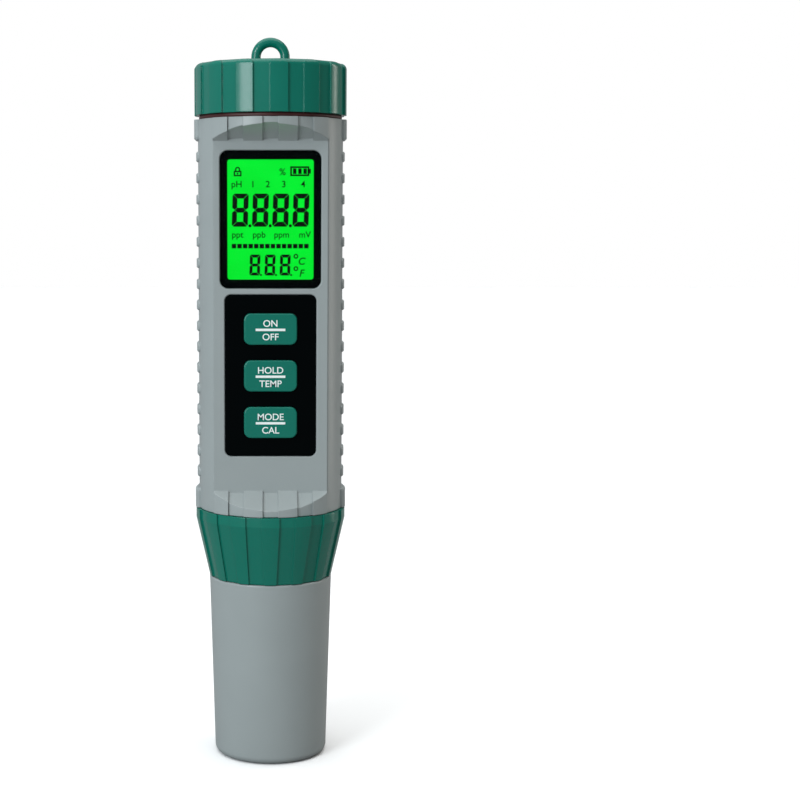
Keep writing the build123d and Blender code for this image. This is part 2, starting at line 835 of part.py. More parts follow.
# Places of the sensors on the probe's face
ec_places = [
    (sensor_circle_r * math.cos(math.radians(turn)), sensor_circle_r * math.sin(math.radians(turn)))
    for turn in (-ec_pin_turn, ec_pin_turn)
]
temp_place = (
    sensor_circle_r * math.cos(math.radians(temp_pin_turn)),
    sensor_circle_r * math.sin(math.radians(temp_pin_turn)),
)
junction_place = (temp_place[0], -temp_place[1])

o_ring_z = collar_z0 - o_ring_drop
o_ring_r = taper_r(o_ring_z) - sleeve_wall - slip - o_ring_wire

# Probe moulding: plug, clamped flange, seat for the sleeve and the shaft
with BuildPart() as probe_body:
    with BuildSketch(Plane.XZ):
        with BuildLine():
            Polyline(
                (0, face_z),
                (guard_bore_r - slip, face_z),
                (guard_bore_r - slip, guard_z1),
                (probe_shaft_r, guard_z1),
                (probe_shaft_r, seat_z0 - probe_cone_length),
                (seat_r, seat_z0),
                (seat_r, ledge_z),
                (spigot_r, ledge_z),
                (spigot_r, probe_flange_z1),
                (spigot_bore_r - loose, probe_flange_z1),
                (spigot_bore_r - loose, probe_plug_z1),
                (0, probe_plug_z1),
                close=True,
            )
        make_face()
        with Locations((o_ring_r, o_ring_z)):
            Circle(o_ring_wire + sleeve_fit, mode=Mode.SUBTRACT)
    revolve(axis=Axis.Z)
    with BuildSketch(Plane.XY.offset(face_z)):
        with Locations((-bulb_x, 0)):
            Circle(glass_r + sleeve_fit)
    extrude(amount=glass_depth, mode=Mode.SUBTRACT)
    with BuildSketch(Plane.XY.offset(face_z)):
        with Locations(ec_places):
            Circle(ec_pin_r + sleeve_fit)
        with Locations(temp_place):
            Circle(temp_pin_r + sleeve_fit)
        with Locations(junction_place):
            Circle(junction_r + sleeve_fit)
    extrude(amount=sensor_root, mode=Mode.SUBTRACT)
    with BuildSketch(Plane.XY.offset(probe_plug_z1)):
        with contact_places:
            Circle(contact_pin_r + sleeve_fit)
    extrude(amount=-contact_pin_root, mode=Mode.SUBTRACT)
probe_body.part.label = "probe_body"
export_step(probe_body.part, "parts/probe_body.step")

# Flat gasket between the probe's flange and the plug's thread spigot
with BuildPart() as probe_gasket:
    with BuildSketch(Plane.XY.offset(probe_flange_z1)):
        Circle(spigot_r - slip)
        Circle(spigot_bore_r - loose + slip, mode=Mode.SUBTRACT)
    extrude(amount=gasket_height)
probe_gasket.part.label = "probe_gasket"
export_step(probe_gasket.part, "parts/probe_gasket.step")

# O-ring that grips the inside of the sleeve
with BuildPart() as sleeve_o_ring:
    with BuildSketch(Plane.XZ):
        with Locations((o_ring_r, o_ring_z)):
            Circle(o_ring_wire)
    revolve(axis=Axis.Z)
sleeve_o_ring.part.label = "sleeve_o_ring"
export_step(sleeve_o_ring.part, "parts/sleeve_o_ring.step")

# Guard with four fingers round the sensors
with BuildPart() as probe_guard:
    with BuildSketch(Plane.XY.offset(probe_tip_z)):
        Circle(probe_shaft_r)
        Circle(guard_bore_r, mode=Mode.SUBTRACT)
    extrude(amount=guard_length)
    with BuildSketch(Plane.XY.offset(probe_tip_z)):
        with PolarLocations(probe_shaft_r, guard_slots):
            Rectangle(4 * guard_wall, guard_slot_width)
    extrude(amount=guard_finger, mode=Mode.SUBTRACT)
probe_guard.part.label = "probe_guard"
export_step(probe_guard.part, "parts/probe_guard.step")

# Glass electrode: a tube that swells into the sensing bulb
with BuildPart() as ph_bulb:
    with BuildSketch(Plane.XY.offset(bulb_z)):
        with Locations((-bulb_x, 0)):
            Circle(glass_r)
    extrude(amount=face_z + glass_depth - bulb_z)
    with Locations((-bulb_x, 0, bulb_z)):
        Sphere(bulb_r)
ph_bulb.part.label = "ph_bulb"
export_step(ph_bulb.part, "parts/ph_bulb.step")

# Porous reference junction
with BuildPart() as reference_junction:
    with BuildSketch(Plane.XY.offset(face_z - junction_drop)):
        with Locations(junction_place):
            Circle(junction_r)
    extrude(amount=junction_drop + sensor_root)
reference_junction.part.label = "reference_junction"
export_step(reference_junction.part, "parts/reference_junction.step")

# Two conductivity pins
with BuildPart() as conductivity_pins:
    with BuildSketch(Plane.XY.offset(face_z - sensor_drop)):
        with Locations(ec_places):
            Circle(ec_pin_r)
    extrude(amount=sensor_drop + sensor_root)
conductivity_pins.part.label = "conductivity_pins"
export_step(conductivity_pins.part, "parts/conductivity_pins.step")

# Temperature pin with a rounded tip
with BuildPart() as temperature_pin:
    with BuildSketch(Plane.XY.offset(face_z - sensor_drop)):
        with Locations(temp_place):
            Circle(temp_pin_r)
    extrude(amount=sensor_drop + sensor_root)
    fillet(temperature_pin.edges().group_by(Axis.Z)[0], temp_pin_r - slip)
temperature_pin.part.label = "temperature_pin"
export_step(temperature_pin.part, "parts/temperature_pin.step")

# Contact pins on the probe's plug
with BuildPart() as plug_pins:
    with BuildSketch(Plane.XY.offset(probe_plug_z1 - contact_pin_root)):
        with contact_places:
            Circle(contact_pin_r)
    extrude(amount=contact_pin_root + contact_pin_rise)
plug_pins.part.label = "plug_pins"
export_step(plug_pins.part, "parts/plug_pins.step")

# Protective sleeve: a tapered cup that the pen stands on
with BuildPart() as protective_sleeve:
    with BuildSketch(Plane.XZ):
        with BuildLine():
            Polyline(
                (0, 0),
                (sleeve_foot_r, 0),
                (taper_r(sleeve_height), sleeve_height),
                (taper_r(sleeve_height) - sleeve_wall, sleeve_height),
                (taper_r(sleeve_floor) - sleeve_wall, sleeve_floor),
                (0, sleeve_floor),
                close=True,
            )
        make_face()
    revolve(axis=Axis.Z)
    rims = protective_sleeve.edges().filter_by(GeomType.CIRCLE)
    fillet(rims.group_by(Axis.Z)[0], sleeve_round)
    fillet(rims.group_by(Axis.Z)[-1], sleeve_lip)
protective_sleeve.part.label = "protective_sleeve"
export_step(protective_sleeve.part, "parts/protective_sleeve.step")

# Sponge for the storage liquid on the sleeve's floor
with BuildPart() as storage_sponge:
    with BuildSketch(Plane.XY.offset(sleeve_floor)):
        Circle(taper_r(sleeve_floor) - sleeve_wall - slip)
    extrude(amount=sponge_height)
storage_sponge.part.label = "storage_sponge"
export_step(storage_sponge.part, "parts/storage_sponge.step")
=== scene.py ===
import json
import math

import bmesh
import bpy
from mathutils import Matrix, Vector


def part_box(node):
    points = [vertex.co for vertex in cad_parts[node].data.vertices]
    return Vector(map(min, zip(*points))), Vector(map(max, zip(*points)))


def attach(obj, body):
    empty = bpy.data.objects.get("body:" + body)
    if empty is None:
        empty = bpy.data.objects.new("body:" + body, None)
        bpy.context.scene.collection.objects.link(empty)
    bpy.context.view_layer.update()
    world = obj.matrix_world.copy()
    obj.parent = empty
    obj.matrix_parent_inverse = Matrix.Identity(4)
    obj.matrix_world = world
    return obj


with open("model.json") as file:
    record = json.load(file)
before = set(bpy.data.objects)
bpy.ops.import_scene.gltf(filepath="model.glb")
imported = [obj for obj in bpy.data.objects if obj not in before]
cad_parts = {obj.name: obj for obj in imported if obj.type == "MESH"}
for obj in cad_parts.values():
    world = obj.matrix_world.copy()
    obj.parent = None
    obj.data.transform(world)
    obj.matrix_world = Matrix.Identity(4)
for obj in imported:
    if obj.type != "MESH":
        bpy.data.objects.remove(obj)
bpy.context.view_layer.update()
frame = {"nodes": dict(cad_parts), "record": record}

# Looks of the pen-type pH meter: materials, display graphics, key legends,
# screw threads, the label plate, the studio and the camera.
# Metres, with sizes written in millimetres times MM. The display faces -Y.
MM = 0.001

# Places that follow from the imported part
LCD_LOW, LCD_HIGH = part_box("lcd_panel")
SHELL_LOW, SHELL_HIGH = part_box("body_shell")
NECK_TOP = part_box("neck_ring")[1].z
SPIGOT_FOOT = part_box("lower_plug")[0].z

# Printed layers: their thickness, and the air under them
INK = 0.04 * MM
INK_GAP = 0.01 * MM

# Letters: the share of the type size that a capital is high, and what thickens its strokes
CAP_SHARE = 0.729
STROKE_SHARE = 0.012

# Display graphics, measured from the middle of the lit area, which lies below the glass's middle
VIEW_DROP = 0.3 * MM
BIG_DIGIT = {"width": 4.15 * MM, "height": 8.5 * MM, "bar": 1.25 * MM, "pitch": 5.24 * MM}
SMALL_DIGIT = {"width": 2.72 * MM, "height": 5.4 * MM, "bar": 0.76 * MM, "pitch": 3.93 * MM}
SEGMENT_GAP = 0.11 * MM
DIGIT_LEAN = math.tan(math.radians(1.9))
BIG_DIGIT_COUNT = 4
BIG_DIGIT_PLACE = (-10.05 * MM, -1.5 * MM)
BIG_POINT = {"x": -5.32 * MM, "z": -1.27 * MM, "radius": 0.4 * MM}
SMALL_DIGIT_COUNT = 3
SMALL_DIGIT_PLACE = (-5.5 * MM, -14.12 * MM)
SMALL_POINT = {"x": -2.49 * MM, "z": -14.0 * MM, "radius": 0.27 * MM}
PADLOCK_PLACE = (-8.5 * MM, 11.45 * MM)
BATTERY_PLACE = (5.1 * MM, 11.5 * MM)
DEGREE_RING = {"x": 6.6 * MM, "outer": 0.62 * MM, "inner": 0.3 * MM}
DEGREE_LEVELS = (-9.15 * MM, -12.35 * MM)
SCALE_BLOCKS = 14
SCALE_PLACE = (-10.05 * MM, -7.1 * MM)
SCALE_PITCH = 1.445 * MM
SCALE_BLOCK = 1.15 * MM

# Display words: name, text, x, z, height in millimetres, and lean
DISPLAY_WORDS = [
    ("percent", "%", 3.1, 11.75, 1.8, 0.0),
    ("name", "pH", -8.75, 8.65, 1.7, 0.0),
    ("channel_1", "1", -4.55, 8.65, 1.7, 0.0),
    ("channel_2", "2", -0.7, 8.65, 1.7, 0.0),
    ("channel_3", "3", 3.45, 8.65, 1.7, 0.0),
    ("channel_4", "4", 8.45, 8.65, 1.7, 0.0),
    ("unit_1", "ppt", -8.55, -4.3, 1.65, 0.0),
    ("unit_2", "ppb", -2.95, -4.3, 1.65, 0.0),
    ("unit_3", "ppm", 2.9, -4.3, 1.65, 0.0),
    ("unit_4", "mV", 8.9, -4.3, 1.65, 0.0),
    ("celsius", "C", 8.0, -11.3, 1.9, 0.2),
    ("fahrenheit", "F", 8.0, -14.4, 1.9, 0.2),
]

# Key legends: two words and the bar between them, from the middle of the key
LEGENDS = {"power_key": ("ON", "OFF"), "hold_key": ("HOLD", "TEMP"), "mode_key": ("MODE", "CAL")}
LEGEND_HEIGHT = 1.78 * MM
LEGEND_RISES = (0.68 * MM, -2.82 * MM)
LEGEND_BAR = {"half": 3.85 * MM, "thickness": 0.62 * MM, "drop": 0.15 * MM}

# Label plate on the back; its rim is given as insets in millimetres and shares of the thickness
PLATE_WIDTH = 24.9 * MM
PLATE_HEIGHT = 14.5 * MM
PLATE_MID = 93.8 * MM
PLATE_THICKNESS = 0.25 * MM
PLATE_ROUND = 1.3 * MM
PLATE_RIM = ((0.0, 0.0), (0.0, 0.7), (0.12, 1.0), (0.65, 1.0), (0.8, 0.6))
BACK_FLAT = 12.4 * MM

# Screw threads: radius under the ridge, its rise, and the bare ends below and above
THREAD_PITCH = 2.5 * MM
NECK_THREAD = {"radius": 16.25 * MM, "rise": 0.5 * MM, "below": 2.3 * MM, "above": 1.2 * MM}
SPIGOT_THREAD = {"radius": 14.9 * MM, "rise": 0.2 * MM, "below": 1.5 * MM, "above": 1.5 * MM}
THREAD_ROOT = 0.02 * MM
RIDGE_FOOT_SHARE = 0.32
RIDGE_CREST_SHARE = 0.08
RIDGE_STEPS_PER_TURN = 48
RIDGE_FADE = 6

# Studio: place, size and watts of the soft boxes, and what the surround sends to the surfaces
LIGHT_AIM = (0, 0, 0.1)
KEY_LIGHT = {"place": (-0.36, -0.5, 0.3), "size": (0.22, 0.4), "power": 2.4, "colour": "F4FBFF"}
RIM_LIGHT = {"place": (0.4, 0.16, 0.16), "size": (0.05, 0.5), "power": 0.4, "colour": "FFFAF2"}
TOP_LIGHT_STRENGTH = 2.2
TOP_LIGHT_ANGLE = math.radians(80)
SURROUND_LEFT = (0.60, 0.66, 0.70, 1)
SURROUND_RIGHT = (0.20, 0.19, 0.17, 1)
SURROUND_STRENGTH = 0.8
FLOOR_BOUNCE = (0.3, 0.3, 0.3, 1)
FLOOR_HALF = 3.0

# Camera, matched to the photograph
LENS_LENGTH = 75.08
SENSOR = 36.0
CAMERA_RANGE = 447.52 * MM
CAMERA_PITCH = math.radians(6.2747)
AIM_HEIGHT = 96.0 * MM
FRAME_WIDTH = 800
OBJECT_COLUMN = 270.5


def linear(code):
    """Scene colour of a six-digit hex code."""
    parts = [int(code[start : start + 2], 16) / 255 for start in (0, 2, 4)]
    return [part / 12.92 if part <= 0.04045 else ((part + 0.055) / 1.055) ** 2.4 for part in parts] + [1]


class Look:
    """A node material under construction."""

    def __init__(self, name):
        self.material = bpy.data.materials.new(name)
        self.material.use_nodes = True
        self.nodes = self.material.node_tree.nodes
        self.links = self.material.node_tree.links
        self.shader = self.nodes["Principled BSDF"]
        self.place = self.nodes.new("ShaderNodeTexCoord").outputs["Object"]

    def set(self, **values):
        """Set sockets of the main shader; underscores stand for spaces."""
        for key, value in values.items():
            self.shader.inputs[key.replace("_", " ")].default_value = value

    def noise(self, size, detail=3.0, roughness=0.5, stretch=(1, 1, 1)):
        """Noise with features of about a size in metres, stretched along the axes."""
        mapping = self.nodes.new("ShaderNodeMapping")
        mapping.inputs["Scale"].default_value = [1 / (size * factor) for factor in stretch]
        self.links.new(self.place, mapping.inputs["Vector"])
        noise = self.nodes.new("ShaderNodeTexNoise")
        noise.inputs["Scale"].default_value = 1.0
        noise.inputs["Detail"].default_value = detail
        noise.inputs["Roughness"].default_value = roughness
        self.links.new(mapping.outputs["Vector"], noise.inputs["Vector"])
        return noise.outputs["Fac"]

    def spread(self, value, low, high):
        """Map a noise value from its middle range to low..high."""
        ranger = self.nodes.new("ShaderNodeMapRange")
        ranger.inputs["From Min"].default_value = 0.3
        ranger.inputs["From Max"].default_value = 0.7
        ranger.inputs["To Min"].default_value = low
        ranger.inputs["To Max"].default_value = high
        self.links.new(value, ranger.inputs["Value"])
        return ranger.outputs["Result"]

    def blend(self, factor, first, second):
        """Mix two colours by a factor socket."""
        mix = self.nodes.new("ShaderNodeMix")
        mix.data_type = "RGBA"
        mix.inputs[6].default_value = first
        mix.inputs[7].default_value = second
        self.links.new(factor, mix.inputs[0])
        return mix.outputs[2]

    def surface(self, heights, soft_edge=0.0):
        """Bump from a list of (noise value, depth in metres), over edges softened by a radius."""
        normal = None
        if soft_edge:
            bevel = self.nodes.new("ShaderNodeBevel")
            bevel.samples = 6
            bevel.inputs["Radius"].default_value = soft_edge
            normal = bevel.outputs["Normal"]
        for value, depth in heights:
            bump = self.nodes.new("ShaderNodeBump")
            bump.inputs["Distance"].default_value = depth
            self.links.new(value, bump.inputs["Height"])
            if normal:
                self.links.new(normal, bump.inputs["Normal"])
            normal = bump.outputs["Normal"]
        if normal:
            self.links.new(normal, self.shader.inputs["Normal"])


def moulded(name, code, roughness, grain=0.25, depth=0.01, mottle=0.05, soft_edge=0.15, gloss=0.5):
    """Moulded plastic or rubber: grain size, grain depth and edge radius are in millimetres."""
    look = Look(name)
    colour = linear(code)
    dark = [part * (1 - mottle) for part in colour[:3]] + [1]
    light = [min(part * (1 + mottle), 1) for part in colour[:3]] + [1]
    cloud = look.noise(14 * MM, detail=2)
    look.links.new(look.blend(look.spread(cloud, 0, 1), dark, light), look.shader.inputs["Base Color"])
    fine = look.noise(grain * MM)
    look.links.new(look.spread(fine, roughness - 0.04, roughness + 0.05), look.shader.inputs["Roughness"])
    look.surface([(fine, depth * MM)], soft_edge * MM)
    look.set(Specular_IOR_Level=gloss)
    return look.material


def metal(name, code, roughness, soft_edge=0.1):
    """Bare metal with fine drawn lines."""
    look = Look(name)
    lines = look.noise(0.12 * MM, stretch=(1, 1, 12))
    colour = linear(code)
    dull = [part * 0.8 for part in colour[:3]] + [1]
    look.links.new(look.blend(look.spread(lines, 0, 1), dull, colour), look.shader.inputs["Base Color"])
    look.links.new(look.spread(lines, roughness - 0.06, roughness + 0.08), look.shader.inputs["Roughness"])
    look.surface([(lines, 0.004 * MM)], soft_edge * MM)
    look.set(Metallic=1.0)
    return look.material


def clear(name, tint, gloss, bend):
    """A thin clear skin: light passes straight through and the surface only reflects."""
    look = Look(name)
    through = look.nodes.new("ShaderNodeBsdfTransparent")
    through.inputs["Color"].default_value = linear(tint)
    shine = look.nodes.new("ShaderNodeBsdfGlossy")
    shine.inputs["Roughness"].default_value = gloss
    edge = look.nodes.new("ShaderNodeFresnel")
    edge.inputs["IOR"].default_value = bend
    smear = look.nodes.new("ShaderNodeBump")
    smear.inputs["Distance"].default_value = 0.002 * MM
    look.links.new(look.noise(6 * MM), smear.inputs["Height"])
    look.links.new(smear.outputs["Normal"], shine.inputs["Normal"])
    mix = look.nodes.new("ShaderNodeMixShader")
    look.links.new(edge.outputs["Fac"], mix.inputs["Fac"])
    look.links.new(through.outputs["BSDF"], mix.inputs[1])
    look.links.new(shine.outputs["BSDF"], mix.inputs[2])
    look.links.new(mix.outputs["Shader"], look.nodes["Material Output"].inputs["Surface"])
    look.nodes.remove(look.shader)
    return look.material


def lit_display():
    """Liquid crystal glass, lit evenly from behind, its green varying a little at random."""
    look = Look("lit_display")
    cloud = look.noise(9 * MM, detail=1)
    glow = look.blend(look.spread(cloud, 0, 1), linear("00EE2E"), linear("00F834"))
    look.links.new(glow, look.shader.inputs["Emission Color"])
    look.set(Base_Color=linear("000A02"), Emission_Strength=1.0, Roughness=0.3, Specular_IOR_Level=0.1)
    return look.material


def open_cell(name, code, cell):
    """Sponge or foam with open cells of a size in millimetres, and painted shade in the cell pits."""
    look = Look(name)
    cells = look.nodes.new("ShaderNodeTexVoronoi")
    cells.inputs["Scale"].default_value = 1 / (cell * MM)
    look.links.new(look.place, cells.inputs["Vector"])
    colour = linear(code)
    # Painted shade: the colour darkens to 0.45 of itself towards the cell pits, where the bump is lowest.
    pit_shade = [part * 0.45 for part in colour[:3]] + [1]
    look.links.new(look.blend(cells.outputs["Distance"], pit_shade, colour), look.shader.inputs["Base Color"])
    look.surface([(cells.outputs["Distance"], 0.4 * cell * MM)])
    look.set(Roughness=0.9)
    return look.material


def plate_foil():
    """Silver-white label foil with a fine speckle."""
    look = Look("plate_foil")
    speck = look.noise(0.28 * MM, detail=4, roughness=0.7)
    tone = look.blend(look.spread(speck, 0, 1), linear("B9BDBF"), linear("E6E8E9"))
    look.links.new(tone, look.shader.inputs["Base Color"])
    look.links.new(look.spread(speck, 0.32, 0.5), look.shader.inputs["Roughness"])
    look.surface([(speck, 0.006 * MM)], 0.08 * MM)
    look.set(Metallic=0.25)
    return look.material


def ink(name, code, roughness=0.45):
    """Printed or segment ink with slightly uneven cover."""
    look = Look(name)
    patch = look.noise(0.6 * MM)
    colour = linear(code)
    thin = [part * 0.93 for part in colour[:3]] + [1]
    look.links.new(look.blend(look.spread(patch, 0, 1), thin, colour), look.shader.inputs["Base Color"])
    look.set(Roughness=roughness, Specular_IOR_Level=0.1)
    return look.material


LOOKS = {
    "shell_plastic": moulded(
        "shell_plastic", "9AA2A2", 0.34, grain=0.22, depth=0.01, mottle=0.02, soft_edge=0.3, gloss=0.45
    ),
    "green_plastic": moulded(
        "green_plastic", "00705F", 0.2, grain=0.5, depth=0.003, mottle=0.03, soft_edge=0.3, gloss=0.4
    ),
    "lens": clear("lens", "F4FBFA", 0.03, bend=1.12),
    "black_gloss": moulded(
        "black_gloss", "020506", 0.2, grain=0.4, depth=0.002, mottle=0.1, soft_edge=0.05, gloss=0.03
    ),
    "lcd": lit_display(),
    "light_guide": moulded("light_guide", "E8F4E8", 0.4),
    "dark_rubber": moulded("dark_rubber", "4A1C1C", 0.5, grain=0.3, depth=0.01),
    "black_rubber": moulded("black_rubber", "1A1A1A", 0.55, grain=0.3, depth=0.01),
    "board": moulded("board", "145C34", 0.3, grain=1.2, depth=0.01, mottle=0.12),
    "black_plastic": moulded("black_plastic", "17181A", 0.45, grain=0.3, depth=0.01, mottle=0.08),
    "steel": metal("steel", "BCC0C4", 0.28),
    "brass": metal("brass", "D8B45A", 0.25),
    "probe_plastic": moulded("probe_plastic", "25282A", 0.42, grain=0.25, depth=0.01, mottle=0.06),
    "bulb_glass": clear("bulb_glass", "E6F1F5", 0.02, bend=1.46),
    "ceramic": moulded("ceramic", "E8E4DC", 0.75, grain=0.2, depth=0.03),
    "graphite": moulded("graphite", "2B2B2D", 0.5, grain=0.2, depth=0.01),
    "sponge": open_cell("sponge", "D8C27A", 0.7),
    "foam": open_cell("foam", "3A3C3E", 0.4),
}
SEGMENT_INK = ink("segment_ink", "020802")
LEGEND_INK = ink("legend_ink", "F4FBF9")


def dress_nodes():
    """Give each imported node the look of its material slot."""
    for subpart in frame["record"]["subparts"]:
        node = frame["nodes"][subpart["node"]]
        node.data.materials.clear()
        node.data.materials.append(LOOKS[subpart["material_slot"]])


def add_piece(name, mesh, look, body):
    """Link a mesh as a piece of the object that rides on a body."""
    piece = bpy.data.objects.new(name, mesh)
    bpy.context.scene.collection.objects.link(piece)
    piece.data.materials.append(look)
    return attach(piece, body)


def outlines_mesh(name, outlines, front):
    """Mesh of flat (x, z) outlines given a layer of ink, its face looking along -Y at depth front."""
    mesh = bpy.data.meshes.new(name)
    made = bmesh.new()
    for outline in outlines:
        near = [made.verts.new((x, front, z)) for x, z in outline]
        far = [made.verts.new((x, front + INK, z)) for x, z in outline]
        made.faces.new(near)
        made.faces.new(far[::-1])
        for here in range(len(outline)):
            after = (here + 1) % len(outline)
            made.faces.new((near[after], near[here], far[here], far[after]))
    bmesh.ops.recalc_face_normals(made, faces=made.faces)
    made.to_mesh(mesh)
    made.free()
    return mesh


def circle(x, z, radius, steps=20):
    """Outline of a dot."""
    turns = [2 * math.pi * step / steps for step in range(steps)]
    return [(x + radius * math.cos(turn), z + radius * math.sin(turn)) for turn in turns]


def ring(x, z, outer, inner, steps=20):
    """Outlines of the four-sided pieces of a ring."""
    turns = [2 * math.pi * step / steps for step in range(steps + 1)]
    pieces = []
    for here, after in zip(turns, turns[1:]):
        pieces.append(
            [
                (x + outer * math.cos(here), z + outer * math.sin(here)),
                (x + outer * math.cos(after), z + outer * math.sin(after)),
                (x + inner * math.cos(after), z + inner * math.sin(after)),
                (x + inner * math.cos(here), z + inner * math.sin(here)),
            ]
        )
    return pieces


def bar(x0, z0, x1, z1):
    """Outline of an upright rectangle."""
    return [(x0, z0), (x1, z0), (x1, z1), (x0, z1)]


def frame_bars(x0, z0, x1, z1, line):
    """Outlines of a rectangle's four sides."""
    return [
        bar(x0, z0, x1, z0 + line),
        bar(x0, z1 - line, x1, z1),
        bar(x0, z0 + line, x0 + line, z1 - line),
        bar(x1 - line, z0 + line, x1, z1 - line),
    ]


def eight(x, z, digit):
    """The seven segments of a digit with its lower left corner at x, z."""
    width, height, line = digit["width"], digit["height"], digit["bar"]
    gap = SEGMENT_GAP / 2
    nick = line * 0.35
    middle = height / 2
    outer_top = [
        (nick + gap, height),
        (width - nick - gap, height),
        (width - nick / 2 - gap, height - nick / 2),
        (width - line - gap, height - line),
        (line + gap, height - line),
        (nick / 2 + gap, height - nick / 2),
    ]
    upper_left = [
        (0, height - nick - gap),
        (nick / 2, height - nick / 2 - gap),
        (line, height - line - gap),
        (line, middle + line / 2 + gap / 2),
        (line / 2, middle + gap),
        (0, middle + line / 2 + gap / 2),
    ]
    waist = [
        (line / 2 + gap, middle),
        (line + gap / 2, middle + line / 2),
        (width - line - gap / 2, middle + line / 2),
        (width - line / 2 - gap, middle),
        (width - line - gap / 2, middle - line / 2),
        (line + gap / 2, middle - line / 2),
    ]
    upper_right = [(width - across, up) for across, up in upper_left]
    upper = [outer_top, upper_left, upper_right]
    lower = [[(across, height - up) for across, up in piece] for piece in upper]
    pieces = upper + [waist] + lower
    return [[(x + across + DIGIT_LEAN * up, z + up) for across, up in piece] for piece in pieces]


def padlock(x, z):
    """Padlock sign with the middle of its foot at x, z."""
    half = 1.0 * MM
    body_top = 1.4 * MM
    line = 0.34 * MM
    bow = 0.66 * MM
    shoulder = 1.75 * MM
    keyhole_foot, keyhole_top = 0.45 * MM, 0.95 * MM
    pieces = frame_bars(x - half, z, x + half, z + body_top, line)
    pieces.append(bar(x - line / 2, z + keyhole_foot, x + line / 2, z + keyhole_top))
    for side in (-1, 1):
        middle = x + side * (bow - line / 2)
        pieces.append(bar(middle - line / 2, z + body_top, middle + line / 2, z + shoulder))
    half_ring = ring(x, z + shoulder, bow, bow - line)
    return pieces + half_ring[: len(half_ring) // 2]


def battery(x, z):
    """Battery sign with three bars, its lower left corner at x, z."""
    width, height, line = 4.9 * MM, 2.5 * MM, 0.42 * MM
    cell, step = 0.86 * MM, 1.35 * MM
    cell_start, cell_inset, tip_inset = 0.72 * MM, 0.55 * MM, 0.65 * MM
    pieces = frame_bars(x, z, x + width, z + height, line)
    pieces.append(bar(x + width, z + tip_inset, x + width + line, z + height - tip_inset))
    for count in range(3):
        left = x + cell_start + count * step
        pieces.append(bar(left, z + cell_inset, left + cell, z + height - cell_inset))
    return pieces


def lettering(name, text, x, z, height, front, look, body, lean=0.0):
    """Raised print: capitals of a height, standing on the line z, at depth front."""
    curve = bpy.data.curves.new(name, "FONT")
    curve.body = text
    curve.align_x = "CENTER"
    curve.size = height / CAP_SHARE
    curve.shear = lean
    curve.extrude = INK / 2
    curve.offset = STROKE_SHARE * height
    piece = bpy.data.objects.new(name, curve)
    bpy.context.scene.collection.objects.link(piece)
    piece.data.materials.append(look)
    piece.location = (x, front + INK / 2, z)
    piece.rotation_euler = (math.radians(90), 0, 0)
    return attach(piece, body)


def display_graphics():
    """Signs, digits, units and the bar scale on the display glass."""
    face = LCD_LOW.y - INK_GAP - INK
    middle = (LCD_LOW.z + LCD_HIGH.z) / 2 - VIEW_DROP
    outlines = padlock(PADLOCK_PLACE[0], middle + PADLOCK_PLACE[1])
    outlines += battery(BATTERY_PLACE[0], middle + BATTERY_PLACE[1])
    left, foot = BIG_DIGIT_PLACE
    for count in range(BIG_DIGIT_COUNT):
        outlines += eight(left + count * BIG_DIGIT["pitch"], middle + foot, BIG_DIGIT)
    for count in range(BIG_DIGIT_COUNT - 1):
        point_x = BIG_POINT["x"] + count * BIG_DIGIT["pitch"]
        outlines.append(circle(point_x, middle + BIG_POINT["z"], BIG_POINT["radius"]))
    left, foot = SMALL_DIGIT_PLACE
    for count in range(SMALL_DIGIT_COUNT):
        outlines += eight(left + count * SMALL_DIGIT["pitch"], middle + foot, SMALL_DIGIT)
        point_x = SMALL_POINT["x"] + count * SMALL_DIGIT["pitch"]
        outlines.append(circle(point_x, middle + SMALL_POINT["z"], SMALL_POINT["radius"]))
    for level in DEGREE_LEVELS:
        outlines += ring(DEGREE_RING["x"], middle + level, DEGREE_RING["outer"], DEGREE_RING["inner"])
    left, foot = SCALE_PLACE
    for count in range(SCALE_BLOCKS):
        block_x, block_z = left + count * SCALE_PITCH, middle + foot
        outlines.append(bar(block_x, block_z, block_x + SCALE_BLOCK, block_z + SCALE_BLOCK))
    mesh = outlines_mesh("display_segments", outlines, face)
    add_piece("display_segments", mesh, SEGMENT_INK, "housing")

    for word, text, x, z, height, lean in DISPLAY_WORDS:
        lettering(
            "display_" + word, text, x * MM, middle + z * MM, height * MM, face,
            SEGMENT_INK, "housing", lean,
        )


def key_legends():
    """Two words and a bar on each key."""
    half, thickness = LEGEND_BAR["half"], LEGEND_BAR["thickness"]
    for key, words in LEGENDS.items():
        low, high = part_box(key)
        middle = (low.z + high.z) / 2
        face = low.y - INK_GAP - INK
        level = middle - LEGEND_BAR["drop"]
        outline = bar(-half, level - thickness / 2, half, level + thickness / 2)
        mesh = outlines_mesh(key + "_bar", [outline], face)
        add_piece(key + "_bar", mesh, LEGEND_INK, key)
        for end, word, rise in zip(("_upper", "_lower"), words, LEGEND_RISES):
            foot = middle + rise
            lettering(key + end, word, 0, foot, LEGEND_HEIGHT, face, LEGEND_INK, key)


def rounded_outline(width, height, radius, steps=8):
    """Corner-rounded rectangle round the origin as (x, z) points."""
    points = []
    for side_x, side_z, start in ((1, 1, 0), (-1, 1, 90), (-1, -1, 180), (1, -1, 270)):
        middle = (side_x * (width / 2 - radius), side_z * (height / 2 - radius))
        for step in range(steps + 1):
            turn = math.radians(start + 90 * step / steps)
            points.append((middle[0] + radius * math.cos(turn), middle[1] + radius * math.sin(turn)))
    return points


